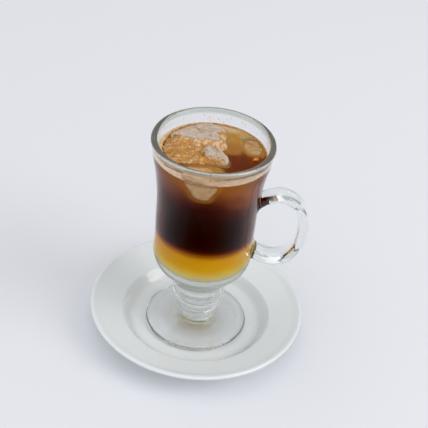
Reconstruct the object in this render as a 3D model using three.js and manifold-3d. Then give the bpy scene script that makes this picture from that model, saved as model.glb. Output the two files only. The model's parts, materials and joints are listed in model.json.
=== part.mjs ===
// An iced drink of cold coffee over orange juice, in a footed glass mug on a saucer.
// Millimetres, +Z up. The origin is on the axis of the glass, on the surface below the saucer.
// The handle points along +X.

import * as THREE from 'three';
import { mergeVertices } from 'three/addons/utils/BufferGeometryUtils.js';
import Module from 'manifold-3d';

const wasm = await Module();
wasm.setup();

// Driving dimensions
const RIM_HEIGHT = 150;
const MOUTH_RADIUS = 38.1;
const BODY_RADIUS = 31.85;
const WALL = 3;
const FOOT_RADIUS = 33.9;
const FOOT_BOTTOM = 5.3;
const STEM_RADIUS = 13;
const KNOB_RADIUS = 17;
const KNOB_HEIGHT = 32.2;
const BOWL_FLOOR = 56;
const LIP_RADIUS = 2.02;
const LIP_LOW = 2.4;

const SAUCER_RADIUS = 71;
const SAUCER_HEIGHT = 19;
const WELL_FLOOR = 5;
const WELL_RADIUS = 43;
const WELL_LIP_RADIUS = 49.4;
const WELL_LIP_HEIGHT = 12.2;
const FOOT_RING_RADIUS = 39.5;

const HANDLE_WIDTH = 12.4;
const HANDLE_THICKNESS = 6.8;
const HANDLE_TOP = 114.6;
const HANDLE_BOTTOM = 65.7;
const HANDLE_REACH = 61.4;
const STRAP_SQUARENESS = 0.75;
const LOWER_STRAP_SPAN = [0.35, 0.8];
const LOWER_STRAP_WIDER = 0.12;
const LOWER_STRAP_THICKER = 0.18;
const ROOT_DEPTH = 2.2;
const ROOT_CROWDING = 0.6;
const ROOT_HUG = 6;
const TOP_ROOT_FILLET = [3, 4.4];
const BOTTOM_ROOT_FILLET = [2, 2.6];

const DRINK_LEVEL = 139.5;
const MENISCUS = 0.8;
const MENISCUS_BEND = [0.5, 0.25];
const MENISCUS_REACH = 1.8;
const LAYER_LEVEL = 82.5;
const GAP = 0.3;
const ICE_CLEARANCE = 0.4;
const ICE_RIPPLE = [2.3, 2.7, 1.9];

const SEGMENTS = 48;
const HANDLE_STEPS = 30;
const HANDLE_SIDES = 12;
const ICE_DETAIL = 4;
const CURVE_STEPS = 13;

// Materials
const clearGlass = new THREE.MeshStandardMaterial({
  color: 0xe9efec, roughness: 0.03, metalness: 0, transparent: true, opacity: 0.35,
});
const whitePorcelain = new THREE.MeshStandardMaterial({ color: 0xdfe2e1, roughness: 0.18, metalness: 0 });
const coffee = new THREE.MeshStandardMaterial({ color: 0x3a1608, roughness: 0.12, metalness: 0 });
const juice = new THREE.MeshStandardMaterial({ color: 0xc8962a, roughness: 0.2, metalness: 0 });
const ice = new THREE.MeshStandardMaterial({ color: 0xd2bba4, roughness: 0.2, metalness: 0 });

// A closed mesh with its shared vertices merged, as a solid that can be joined or cut.
function solidOf(geometry) {
  const bare = geometry.clone();
  bare.deleteAttribute('normal');
  bare.deleteAttribute('uv');
  const merged = mergeVertices(bare, 1e-4);
  const index = merged.index.array;
  const corners = [];
  for (let i = 0; i < index.length; i += 3) {
    const [a, b, c] = [index[i], index[i + 1], index[i + 2]];
    if (a !== b && b !== c && c !== a) {
      corners.push(a, b, c);
    }
  }
  return new wasm.Manifold(new wasm.Mesh({
    numProp: 3,
    vertProperties: new Float32Array(merged.attributes.position.array),
    triVerts: new Uint32Array(corners),
  }));
}

function geometryOf(solid) {
  const mesh = solid.getMesh();
  const geometry = new THREE.BufferGeometry();
  geometry.setAttribute('position', new THREE.BufferAttribute(mesh.vertProperties, 3));
  geometry.setIndex(new THREE.BufferAttribute(mesh.triVerts, 1));
  geometry.computeVertexNormals();
  return geometry;
}

// A body of revolution about Z from its outline, listed from the axis at the bottom to the axis at the top.
function turned(outline) {
  const lathe = new THREE.LatheGeometry(outline.map(([r, z]) => new THREE.Vector2(r, z)), SEGMENTS);
  lathe.rotateX(Math.PI / 2);
  return solidOf(lathe);
}

// Points of a smooth curve through a few places of the outline.
function smooth(places, steps) {
  const curve = new THREE.SplineCurve(places.map(([r, z]) => new THREE.Vector2(r, z)));
  return curve.getPoints(steps).map((p) => [p.x, p.y]);
}

// Saucer

function saucerSolid() {
  const ring = FOOT_RING_RADIUS;
  const rim = SAUCER_RADIUS;
  const top = SAUCER_HEIGHT;
  return turned([
    [0, 1.8],
    [ring - 2.8, 1.8],
    [ring - 2.1, 0.5],
    [ring - 1.3, 0],
    [ring + 1.3, 0],
    [ring + 2.3, 0.6],
    [WELL_RADIUS + 1.8, 3.2],
    [WELL_LIP_RADIUS + 0.4, 8.6],
    [WELL_LIP_RADIUS + 2.4, 9.8],
    [rim - 11, 12.6],
    [rim - 1.6, 15.9],
    [rim - 0.3, 16.9],
    [rim, 17.9],
    [rim - 0.5, top - 0.1],
    [rim - 1.7, top],
    [rim - 6, 17.1],
    [rim - 13, 14.8],
    [WELL_LIP_RADIUS + 2.2, WELL_LIP_HEIGHT + 0.7],
    [WELL_LIP_RADIUS, WELL_LIP_HEIGHT],
    [WELL_LIP_RADIUS - 1.4, WELL_LIP_HEIGHT - 1.4],
    [WELL_RADIUS + 1.6, WELL_FLOOR + 1.6],
    [WELL_RADIUS, WELL_FLOOR + 0.5],
    [WELL_RADIUS - 2, WELL_FLOOR],
    [0, WELL_FLOOR],
  ]);
}

// Glass

const foot = [
  [0, FOOT_BOTTOM + 1.6],
  [24, FOOT_BOTTOM + 1.2],
  [27.6, FOOT_BOTTOM + 0.2],
  [29.6, FOOT_BOTTOM],
  [31.8, FOOT_BOTTOM],
  [FOOT_RADIUS - 0.6, FOOT_BOTTOM + 0.6],
  [FOOT_RADIUS, FOOT_BOTTOM + 1.7],
  [FOOT_RADIUS - 0.6, FOOT_BOTTOM + 2.8],
  [FOOT_RADIUS - 2, FOOT_BOTTOM + 3.4],
  [28.6, FOOT_BOTTOM + 3.4],
  [22, FOOT_BOTTOM + 4.6],
  [16.2, FOOT_BOTTOM + 6.4],
  [STEM_RADIUS - 0.2, FOOT_BOTTOM + 8.6],
];

const stem = [
  [STEM_RADIUS - 0.7, 15.2],
  [STEM_RADIUS + 0.3, 17],
  [STEM_RADIUS + 0.6, 18.6],
  [STEM_RADIUS + 0.2, 20.2],
  [STEM_RADIUS - 0.5, 21.2],
  [STEM_RADIUS + 0.5, 22.6],
  [STEM_RADIUS + 0.8, 23.8],
  [STEM_RADIUS + 0.4, 25],
  [STEM_RADIUS + 1.7, 26.6],
  [STEM_RADIUS + 2, 27.9],
  [KNOB_RADIUS - 0.9, KNOB_HEIGHT - 3.2],
  [KNOB_RADIUS, KNOB_HEIGHT],
  [KNOB_RADIUS - 0.5, KNOB_HEIGHT + 2.8],
  [KNOB_RADIUS - 1.2, KNOB_HEIGHT + 4],
];

const bowlOutside = smooth([
  [16.2, 38],
  [18.6, 42.6],
  [21.8, 47.6],
  [26.2, 52.6],
  [30.2, 58.2],
  [BODY_RADIUS + 0.1, 65],
  [BODY_RADIUS - 0.2, 74],
  [BODY_RADIUS, 90],
  [BODY_RADIUS + 0.2, 104],
  [BODY_RADIUS + 1, 116],
  [BODY_RADIUS + 2.4, 127],
  [BODY_RADIUS + 4.6, 138],
  [MOUTH_RADIUS - 0.3, RIM_HEIGHT - 3.6],
], CURVE_STEPS);

// The lip is a full round bead, listed from its outside over the top to its inside.
const lip = [0, 0.25, 0.5, 0.67, 0.83].map((share) => [
  MOUTH_RADIUS - LIP_RADIUS + LIP_RADIUS * Math.cos(Math.PI * share),
  RIM_HEIGHT - LIP_RADIUS + LIP_RADIUS * Math.sin(Math.PI * share),
]);
const [lipInside, lipInsideHeight] = lip[lip.length - 1];

// The inside of the bowl, from the lip down to its round floor.
const bowlInside = smooth([
  [MOUTH_RADIUS - 2 * LIP_RADIUS, RIM_HEIGHT - LIP_LOW],
  [BODY_RADIUS + 5.2 - WALL, 143],
  [BODY_RADIUS + 4.6 - WALL, 138],
  [BODY_RADIUS + 2.2 - WALL, 127],
  [BODY_RADIUS + 0.7 - WALL, 115],
  [BODY_RADIUS - 0.2 - WALL, 102],
  [BODY_RADIUS - 0.6 - WALL, 88],
  [BODY_RADIUS - 1.1 - WALL, 78],
  [27.2, 69.5],
  [24, 63],
  [18.2, BOWL_FLOOR + 2.2],
  [10.4, BOWL_FLOOR + 0.5],
  [0, BOWL_FLOOR],
], CURVE_STEPS);

// The radius of the bowl's inside at a height.
function insideRadius(z) {
  for (let i = 0; i + 1 < bowlInside.length; i += 1) {
    const [r0, z0] = bowlInside[i];
    const [r1, z1] = bowlInside[i + 1];
    if (z <= z0 && z >= z1) {
      return r1 + (r0 - r1) * (z - z1) / (z0 - z1);
    }
  }
  return 0;
}

// The handle's centre line in the XZ plane, from its root on the upper wall to the one below.
const handleLine = new THREE.CatmullRomCurve3([
  [BODY_RADIUS - ROOT_DEPTH, HANDLE_TOP - 5.2],
  [BODY_RADIUS + 1.4, HANDLE_TOP - 4.8],
  [BODY_RADIUS + 6, HANDLE_TOP - 2.2],
  [45, HANDLE_TOP],
  [52, HANDLE_TOP - 2],
  [58.4, HANDLE_TOP - 8.2],
  [HANDLE_REACH, HANDLE_TOP - 18],
  [HANDLE_REACH, HANDLE_BOTTOM + 20.5],
  [58.8, HANDLE_BOTTOM + 10],
  [53, HANDLE_BOTTOM + 2.8],
  [45, HANDLE_BOTTOM],
  [BODY_RADIUS + 6.5, HANDLE_BOTTOM + 1.2],
  [BODY_RADIUS + 1.4, HANDLE_BOTTOM + 3.4],
  [BODY_RADIUS - ROOT_DEPTH, HANDLE_BOTTOM + 3.8],
].map(([x, z]) => new THREE.Vector3(x, 0, z)), false, 'centripetal');

// How much a round fillet of a radius adds at a distance from the wall.
function fillet(distance, radius) {
  const s = THREE.MathUtils.clamp(distance, 0, radius);
  return radius - Math.sqrt(radius ** 2 - (radius - s) ** 2);
}

// A strap with a rounded section, filleted into the round wall at both ends.
function handleSolid() {
  const corners = [];
  const rings = HANDLE_STEPS + 1;
  const length = handleLine.getLength();
  for (let i = 0; i < rings; i += 1) {
    const even = i / HANDLE_STEPS;
    const t = even - ROOT_CROWDING * Math.sin(2 * Math.PI * even) / (2 * Math.PI);
    const centre = handleLine.getPointAt(t);
    const along = handleLine.getTangentAt(t);
    const outward = new THREE.Vector3(-along.z, 0, along.x);
    const fromTop = t * length - ROOT_DEPTH;
    const fromBottom = (1 - t) * length - ROOT_DEPTH;
    const lower = THREE.MathUtils.smoothstep(t, ...LOWER_STRAP_SPAN);
    const [wider, thicker] = [0, 1].map((side) => (
      fillet(fromTop, TOP_ROOT_FILLET[side]) + fillet(fromBottom, BOTTOM_ROOT_FILLET[side])
    ));
    const halfWidth = HANDLE_WIDTH / 2 * (1 + LOWER_STRAP_WIDER * lower) + wider;
    const halfThick = HANDLE_THICKNESS / 2 * (1 + LOWER_STRAP_THICKER * lower) + thicker;
    const hug = 1 - THREE.MathUtils.smoothstep(Math.min(fromTop, fromBottom), 0, ROOT_HUG);
    for (let j = 0; j < HANDLE_SIDES; j += 1) {
      const a = 2 * Math.PI * j / HANDLE_SIDES;
      const across = Math.sign(Math.cos(a)) * Math.abs(Math.cos(a)) ** STRAP_SQUARENESS * halfWidth;
      const out = Math.sign(Math.sin(a)) * Math.abs(Math.sin(a)) ** STRAP_SQUARENESS * halfThick;
      const drop = BODY_RADIUS - Math.sqrt(BODY_RADIUS ** 2 - across ** 2);
      corners.push(new THREE.Vector3(-drop * hug, across, 0).addScaledVector(outward, out).add(centre));
    }
  }
  corners.push(handleLine.getPointAt(0), handleLine.getPointAt(1));
  const index = [];
  for (let i = 0; i + 1 < rings; i += 1) {
    for (let j = 0; j < HANDLE_SIDES; j += 1) {
      const a = i * HANDLE_SIDES + j;
      const b = i * HANDLE_SIDES + (j + 1) % HANDLE_SIDES;
      index.push(a, b, a + HANDLE_SIDES, b, b + HANDLE_SIDES, a + HANDLE_SIDES);
    }
  }
  const first = rings * HANDLE_SIDES;
  const lastRing = (rings - 1) * HANDLE_SIDES;
  for (let j = 0; j < HANDLE_SIDES; j += 1) {
    const next = (j + 1) % HANDLE_SIDES;
    index.push(first, next, j);
    index.push(first + 1, lastRing + j, lastRing + next);
  }
  const geometry = new THREE.BufferGeometry().setFromPoints(corners);
  geometry.setIndex(index);
  return solidOf(geometry);
}

function glassSolid() {
  const outside = turned([...foot, ...stem, ...bowlOutside, ...lip, [0, lipInsideHeight]]);
  const hollow = turned([...bowlInside].reverse().concat([
    [lipInside, lipInsideHeight],
    [lipInside, RIM_HEIGHT + 1],
    [0, RIM_HEIGHT + 1],
  ]));
  return outside.add(handleSolid()).subtract(hollow);
}

// Ice: melted blocks with rounded edges. Each has an outline seen from above, the heights of its bottom
// and top, the slope of its top, how much its sides lean, how sharp its edges are, and its own waves.
const icePieces = [
  {
    name: 'ice_back_slab', low: 127.5, high: 141.8, slope: [-0.02, 0.03], lean: 0.12, edge: 12, wave: 0.7, phase: 1.3,
    plan: [
      [-27.4, 12.6], [-21, 7.6], [-12, 7], [7, 9.6], [8, 20], [6, 26.4], [-4, 31.2], [-12, 28], [-21.4, 20.6],
    ],
  },
  {
    name: 'ice_centre_shard', low: 125, high: 142.2, slope: [0.2, 0.18], lean: 0.1, edge: 10, wave: 0.6, phase: 4.1,
    plan: [[-5, 5.6], [-5.4, -1.5], [-1.4, -9.4], [4.6, -12.4], [9.6, -12.2], [9.6, -8], [3.2, 2]],
  },
  {
    name: 'ice_right_cube', low: 126.5, high: 140.2, slope: [-0.03, 0.02], lean: 0.1, edge: 8, wave: 0.5, phase: 2.2,
    plan: [[18.4, 9.6], [22.5, 2.4], [31.2, 3], [31, 11], [26, 19], [19.4, 19.2]],
  },
  {
    name: 'ice_front_lump', low: 126.5, high: 140.4, slope: [-0.1, -0.02], lean: 0.4, edge: 7, wave: 0.7, phase: 5.6,
    plan: [[-14, -21], [-13.8, -27.5], [-7, -33], [1, -33.8], [6.5, -30], [8.8, -22.5], [5, -16]],
  },
];

// The planes that bound a block: outward normals, and distances from its middle.
function boundsOf({ plan, low, high, slope, lean }) {
  const sum = plan.reduce(([x, y], [px, py]) => [x + px, y + py], [0, 0]);
  const middle = new THREE.Vector3(sum[0] / plan.length, sum[1] / plan.length, (low + high) / 2);
  const planes = plan.map(([x, y], i) => {
    const [endX, endY] = plan[(i + 1) % plan.length];
    const size = Math.hypot(endX - x, endY - y);
    const normal = new THREE.Vector3((endY - y) / size, (x - endX) / size, -lean);
    return { normal, distance: (x - middle.x) * normal.x + (y - middle.y) * normal.y };
  });
  const halfHeight = (high - low) / 2;
  planes.push({ normal: new THREE.Vector3(-slope[0], -slope[1], 1), distance: halfHeight });
  planes.push({ normal: new THREE.Vector3(0, 0, -1), distance: halfHeight });
  return { middle, planes };
}

// One block of ice, grown on every side by a margin, or kept clear of the wall where it isn't grown.
function iceSolid(piece, margin) {
  const { edge, wave, phase } = piece;
  const { middle, planes } = boundsOf(piece);
  const geometry = new THREE.IcosahedronGeometry(1, ICE_DETAIL);
  const corners = geometry.attributes.position;
  for (let i = 0; i < corners.count; i += 1) {
    const v = new THREE.Vector3().fromBufferAttribute(corners, i).normalize();
    const crowd = planes.reduce((total, { normal, distance }) => (
      total + (Math.max(0, v.dot(normal)) / distance) ** edge
    ), 0);
    const [acrossX, acrossY, acrossZ] = ICE_RIPPLE;
    const plain = Math.sin(v.x * acrossX + phase) * Math.cos(v.y * acrossY - phase);
    const ripple = plain * Math.sin(v.z * acrossZ + 2 * phase);
    const p = v.multiplyScalar(crowd ** (-1 / edge) + wave * ripple + margin).add(middle);
    const room = margin > 0 ? Infinity : insideRadius(p.z) - ICE_CLEARANCE;
    const inward = Math.min(1, room / Math.hypot(p.x, p.y));
    corners.setXYZ(i, p.x * inward, p.y * inward, p.z);
  }
  return solidOf(geometry);
}

// The drink: juice in the round bottom of the bowl, coffee over it, cut round the ice.

function layerOutline(bottom, top) {
  const wall = [];
  for (const [, z] of bowlInside) {
    if (z > bottom + 1 && z < top - 1) {
      wall.unshift([insideRadius(z) - GAP, z]);
    }
  }
  return wall;
}

function juiceSolid() {
  const top = LAYER_LEVEL - GAP / 2;
  const inner = bowlInside.filter(([r, z]) => z < top - 1 && r > 1).reverse();
  const fitted = inner.map(([r, z]) => {
    const shrink = GAP / Math.hypot(r, z - LAYER_LEVEL);
    return [r * (1 - shrink), z + (LAYER_LEVEL - z) * shrink];
  });
  return turned([[0, BOWL_FLOOR + GAP], ...fitted, [insideRadius(top) - GAP, top], [0, top]]);
}

function coffeeSolid() {
  const bottom = LAYER_LEVEL + GAP / 2;
  const edge = DRINK_LEVEL + MENISCUS;
  const contact = insideRadius(edge) - GAP;
  let solid = turned([
    [0, bottom],
    [insideRadius(bottom) - GAP, bottom],
    ...layerOutline(bottom, DRINK_LEVEL - 1),
    [contact, edge],
    [contact - MENISCUS_BEND[0], DRINK_LEVEL + MENISCUS_BEND[1]],
    [contact - MENISCUS_REACH, DRINK_LEVEL],
    [0, DRINK_LEVEL],
  ]);
  for (const piece of icePieces) {
    solid = solid.subtract(iceSolid(piece, GAP));
  }
  return solid;
}

// Assembly

const part = new THREE.Group();

function place(name, solid, material) {
  const mesh = new THREE.Mesh(geometryOf(solid), material);
  mesh.name = name;
  part.add(mesh);
}

place('saucer', saucerSolid(), whitePorcelain);
place('glass', glassSolid(), clearGlass);
place('orange_juice', juiceSolid(), juice);
place('cold_brew', coffeeSolid(), coffee);
for (const piece of icePieces) {
  place(piece.name, iceSolid(piece, 0), ice);
}

export default part;
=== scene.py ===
"""An iced drink of cold coffee over orange juice, in a footed glass mug on a white saucer.

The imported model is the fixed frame, and every piece here is in metres in that frame: the origin is on
the axis of the glass, on the surface below the saucer, +Z is up and the handle points along +X.
Outlines are written in millimetres, as (radius, height) from the axis, and turned to metres when a mesh
is made of them.
"""

import json
import math
import random
from functools import partial
from typing import NamedTuple

import bmesh
import bpy
import numpy as np
from bpy.props import FloatProperty, FloatVectorProperty, IntProperty, PointerProperty
from bpy.types import Operator, Panel, PropertyGroup
from mathutils import Euler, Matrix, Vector, noise
from mathutils.bvhtree import BVHTree

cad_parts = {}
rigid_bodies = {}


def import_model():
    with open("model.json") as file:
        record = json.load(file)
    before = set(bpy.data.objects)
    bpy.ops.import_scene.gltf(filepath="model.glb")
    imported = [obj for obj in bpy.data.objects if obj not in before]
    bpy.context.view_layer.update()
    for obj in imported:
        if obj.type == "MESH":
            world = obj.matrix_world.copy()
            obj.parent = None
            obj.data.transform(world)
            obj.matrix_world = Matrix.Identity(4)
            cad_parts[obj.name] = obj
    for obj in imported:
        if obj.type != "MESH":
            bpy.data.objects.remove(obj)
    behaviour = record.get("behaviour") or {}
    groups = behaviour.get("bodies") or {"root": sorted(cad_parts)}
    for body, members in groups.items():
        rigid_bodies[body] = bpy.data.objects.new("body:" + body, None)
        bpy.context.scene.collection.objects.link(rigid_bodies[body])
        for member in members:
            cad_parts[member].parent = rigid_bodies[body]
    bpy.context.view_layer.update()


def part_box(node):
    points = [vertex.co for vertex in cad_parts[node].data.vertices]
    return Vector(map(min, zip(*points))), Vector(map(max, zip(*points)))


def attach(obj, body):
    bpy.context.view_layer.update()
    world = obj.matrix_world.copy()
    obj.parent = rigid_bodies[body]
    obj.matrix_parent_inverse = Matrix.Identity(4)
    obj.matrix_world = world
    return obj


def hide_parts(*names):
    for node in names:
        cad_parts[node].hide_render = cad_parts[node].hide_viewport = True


bl_info = {
    "name": "Iced Coffee over Juice",
    "version": (1, 0, 0),
    "blender": (4, 5, 0),
    "location": "View3D > Sidebar > Drink",
    "description": "Builds a layered iced drink in a footed glass mug on a saucer",
    "category": "Add Mesh",
}

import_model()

MM = 0.001
SAUCER_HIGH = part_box("saucer")[1] / MM
GLASS_LOW, GLASS_HIGH = (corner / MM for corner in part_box("glass"))
JUICE_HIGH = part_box("orange_juice")[1] / MM
BREW_LOW, BREW_HIGH = (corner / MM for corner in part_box("cold_brew"))
MENISCUS = 0.8
LAYER_LEVEL = (JUICE_HIGH.z + BREW_LOW.z) / 2
DRINK_LEVEL = BREW_HIGH.z - MENISCUS

# Segments round the saucer and the coffee, and round the mug and the juice.
FINE_ROUND = 192
ROUND = 160

# The round bead of the lip: its radius, and how far below the rim it ends inside.
LIP = 2.02
LIP_LOW = 2.4

# The handle: how square its section is, how deep it starts in the wall, how its points crowd to the roots,
# how far along it follows the round of the wall, and how its roots and its lower half are wider and thicker.
STRAP_SQUARENESS = 0.75
ROOT_DEPTH = 2.2
ROOT_CROWDING = 0.6
ROOT_HUG = 6
TOP_ROOT_FILLET = (3, 4.4)
BOTTOM_ROOT_FILLET = (2, 2.6)
LOWER_STRAP_SPAN = (0.35, 0.8)
LOWER_STRAP_WIDER = 0.12
LOWER_STRAP_THICKER = 0.18

# The share of its full reflection that a surface keeps: the outer wall beside the drink, glass that the drink
# wets, and the open surface of the coffee.
WALL_MIRROR = 0.05
WETTED_MIRROR = 0.02
STILL_MIRROR = 0.2
# A face counts as wetted up to this far out from the inside of the bowl, and as outer wall up to this far out
# from the thickness of the wall.
WETTED_DEPTH = 0.3
OUTER_DEPTH = 1.9
# Below this height the outside of the bowl curves in and reflects in full.
OUTER_LOW = 60

# How rough and how cloudy the thickest glass is, and where the bottom of the bowl and the lip are so thick.
# There the glass is also painted a darker grey-green, partly its own tint and partly painted shade.
THICK_SOFTNESS = 0.2
THICK_CLOUD = 0.16
THICK_HEIGHTS = (38, 42, 54, 60, GLASS_HIGH.z - 3.4, GLASS_HIGH.z - 1.8)
THICK_SHARES = (0, 0.6, 0.6, 0, 0, 1)

# How close the ripples of the ice follow one another along each axis.
ICE_RIPPLE = (2.3, 2.7, 1.9)
# How the drink is thinned by ice that shows and by ice that is sunk: at most, from what distance on it fades,
# and over what distance.
SHOWN_MELT = (0.92, 0.35, 1.2)
SUNK_MELT = (0.6, 0.6, 2.2)

# The drink climbs the wall and the ice: how soon the climb fades, and its share of the height at the ice.
FILM_BEND = 0.7
ICE_FILM = 0.75
ICE_FILM_BEND = 0.8

# The sheet of froth: how far it leans out from the ice, how soon its edge thins, how wide its fine and open
# bubbles are, and how high or deep they are.
LEAN = 0.7
SHEET_EDGE = 0.5
FINE_BUBBLE = 0.75
OPEN_BUBBLE = 1.2
FINE_BUBBLE_RISE = 0.1
OPEN_BUBBLE_DEPTH = 0.25
# How much of its cell an open bubble takes up.
OPEN_BUBBLE_CORE = 0.28
# The single bubbles: the least and the largest radius of small and large ones, and the share of small ones.
SMALL_BUBBLES = (0.14, 0.3)
LARGE_BUBBLES = (0.34, 0.5)
SMALL_BUBBLES_SHARE = 0.92

# Drops on the wall: their least and largest height and radius.
DROP_HEIGHTS = (141.2, 146.4)
DROP_RADII = (0.15, 0.5)
# The drip: how many drops make it, how high the lowest is, and the step from one to the next.
DRIP_DROPS = 12
DRIP_LOW = 143.6
DRIP_STEP = 0.42

# Half the length of a side of the table, and where the camera stands.
TABLE_HALF = 4000
CAMERA_PLACE = (4.9, -557.17, 513.1)
# The light overhead, as a share of the key light.
OVERHEAD_SHARE = 0.42
# What the picture takes as black.
BLACK_LEVEL = (0.004, 0.006, 0.0065)


def linear(code):
    """An sRGB hex colour as linear red, green, blue and a full alpha."""
    shares = [int(code[i:i + 2], 16) / 255 for i in (1, 3, 5)]
    return (*[c / 12.92 if c <= 0.04045 else ((c + 0.055) / 1.055) ** 2.4 for c in shares], 1.0)


def number(name, description, default, **more):
    """A number that a user can change."""
    return FloatProperty(name=name, description=description, default=default, **more)


def length(name, description, millimetres):
    """A length that a user can change, with its default in millimetres."""
    return number(name, description, millimetres * MM, unit="LENGTH", precision=5)


def colour(name, description, code):
    """A colour that a user can change, with its default as sRGB hex."""
    return FloatVectorProperty(
        name=name, description=description, default=linear(code), size=4, min=0, max=1, subtype="COLOR"
    )


class SaucerSettings(PropertyGroup):
    well_floor: length("Well floor", "Height of the flat floor of the well", 5)
    well_radius: length("Well radius", "Radius of the flat floor of the well", 43)
    lip_radius: length("Well lip radius", "Radius where the well turns into the rim", 49.4)
    lip_height: length("Well lip height", "Height where the well turns into the rim", 12.2)
    ring_radius: length("Foot ring radius", "Radius of the ring that the saucer stands on", 39.5)
    glaze: colour("Glaze", "Colour of the white glaze", "#e6eaea")
    # Painted light: the glaze below the foot of the glass is painted brighter than the rest.
    glaze_under: colour("Glaze under the glass", "Colour of the glaze below the foot of the glass", "#fafcff")


class GlassSettings(PropertyGroup):
    body_radius: length("Body radius", "Outer radius of the straight middle of the bowl", 31.85)
    wall: length("Wall", "Thickness of the bowl's wall", 3)
    foot_radius: length("Foot radius", "Radius of the round foot", 33.9)
    stem_radius: length("Stem radius", "Radius of the stem above the foot", 13)
    knob_radius: length("Knob radius", "Radius of the thick ring below the bowl", 17)
    knob_height: length("Knob height", "Height of the middle of that ring", 32.2)
    bowl_floor: length("Bowl floor", "Lowest point of the inside of the bowl", 56)
    handle_width: length("Handle width", "Width of the handle's strap", 12.4)
    handle_thickness: length("Handle thickness", "Thickness of the handle's strap", 6.8)
    handle_top: length("Handle top", "Highest point of the handle's centre line", 114.6)
    handle_bottom: length("Handle bottom", "Lowest point of the handle's centre line", 65.7)
    handle_reach: length("Handle reach", "How far the handle's centre line stands out", 61.4)
    clear: colour("Clear glass", "Colour of a thin layer of the glass", "#feffff")
    # The darker grey-green of the lip and the thick bottom: partly the glass's own tint, partly painted
    # shade.
    clouded: colour("Clouded glass", "Colour of the glass of the lip and the thick bottom", "#bcc6bc")
    thick: colour("Thick glass", "Colour that light takes on in the thick parts", "#c6d2cc")
    density: number("Glass density", "How much light the glass takes away, per metre", 10, min=0)


class DrinkSettings(PropertyGroup):
    layer_level: length("Layer level", "Height where the coffee begins", LAYER_LEVEL)
    drink_level: length("Drink level", "Height of the surface of the drink", DRINK_LEVEL)
    meniscus: length("Meniscus", "How far the drink climbs up the wall", MENISCUS)
    reach: length("Reach", "How far the drink reaches into the wall, so that no air shows", 0.15)
    juice: colour("Juice", "Colour of the cloudy juice", "#f2b20c")
    juice_bright: colour("Bright juice", "Colour of the juice where the bowl narrows", "#fdbf1c")
    juice_pale: colour("Pale juice", "Colour of the juice low in the bowl", "#ffd768")
    juice_settled: colour("Settled pulp", "Colour of the pulp on the floor of the bowl", "#fbe2b0")
    juice_stained: colour("Stained juice", "Colour of the juice where coffee mixes in", "#a0500a")
    brew: colour("Brew", "Colour that light keeps longest in the coffee", "#efd400")
    brew_strength: number("Brew strength", "How much light the coffee takes away, per metre", 270, min=0)


class IceSettings(PropertyGroup):
    detail: IntProperty(name="Detail", description="Subdivisions of each block", default=6, min=3, max=7)
    clearance: length("Clearance", "Room between the ice and the wall of the glass", 0.4)
    relief: length("Relief", "Height of the melted relief on each block", 0.35)
    pale: colour("Pale ice", "Colour of cloudy ice with little coffee on it", "#d2beac")
    stained: colour("Stained ice", "Colour of ice that the coffee has stained", "#b88c60")
    steeped: colour("Steeped ice", "Colour of the ice below the surface", "#fff0de")
    # The orange of the small chip is a painted glint.
    chip: colour("Chip", "Colour of the bit of orange peel", "#e58a3e")
    washed: colour("Washed ice", "Colour of ice that the drink washes over", "#c09a70")


class FrothSettings(PropertyGroup):
    thickness: length("Thickness", "Height of the sheet of froth", 0.4)
    spacing: length("Spacing", "Distance between the points of the sheet", 0.3)
    bubbles: IntProperty(name="Bubbles", description="Number of separate bubbles", default=420, min=0)
    droplets: IntProperty(name="Droplets", description="Number of drops inside the rim", default=40, min=0)
    seed: IntProperty(name="Seed", description="Start of the random draws", default=11)
    foam: colour("Foam", "Colour of the fine froth", "#c88e42")
    foam_pale: colour("Pale foam", "Colour of the thick froth at the wall", "#f2dcba")
    foam_dark: colour("Open bubbles", "Colour inside the open bubbles", "#5a2606")


class StageSettings(PropertyGroup):
    floor: colour("Table", "Colour of the table", "#e6e7ea")
    sky: colour("Fill light", "Colour of the light from all round", "#f6f8fd")
    sky_strength: number("Fill strength", "Strength of the light from all round", 0.835)
    key_power: number("Key light", "Power of the soft light", 17.5, unit="POWER")
    camera_elevation: number(
        "Camera elevation", "How far the camera looks down", math.radians(36.95), subtype="ANGLE"
    )
    camera_roll: number("Camera roll", "How far the camera leans", math.radians(6.43), subtype="ANGLE")
    lens: number("Lens", "Focal length in millimetres", 92.78)


class LayeredDrink(PropertyGroup):
    saucer: PointerProperty(type=SaucerSettings)
    glass: PointerProperty(type=GlassSettings)
    drink: PointerProperty(type=DrinkSettings)
    ice: PointerProperty(type=IceSettings)
    froth: PointerProperty(type=FrothSettings)
    stage: PointerProperty(type=StageSettings)


# Outlines and curves


def curve_through(places, steps, rounded=False):
    """Points of a Catmull-Rom curve through the places, evenly spaced in each span.

    A rounded curve is centripetal and never overshoots a tight bend. The other kind is uniform.
    """
    points = np.array(places, float)
    if rounded:
        first, last = 2 * points[0] - points[1], 2 * points[-1] - points[-2]
    else:
        first, last = points[0], points[-1]
    padded = np.vstack([first, points, last])
    curve = []
    for i in range(len(points) - 1):
        p0, p1, p2, p3 = padded[i:i + 4]
        if rounded:
            d0, d1, d2 = (np.linalg.norm(b - a) ** 0.5 for a, b in ((p0, p1), (p1, p2), (p2, p3)))
            start = ((p1 - p0) / d0 - (p2 - p0) / (d0 + d1) + (p2 - p1) / d1) * d1
            end = ((p2 - p1) / d1 - (p3 - p1) / (d1 + d2) + (p3 - p2) / d2) * d1
        else:
            start, end = (p2 - p0) / 2, (p3 - p1) / 2
        w = np.arange(steps)[:, None] / steps
        cubic = (2 * (p1 - p2) + start + end) * w ** 3 + (3 * (p2 - p1) - 2 * start - end) * w ** 2
        curve.append(cubic + start * w + p1)
    return np.vstack([*curve, points[-1:]])


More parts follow.
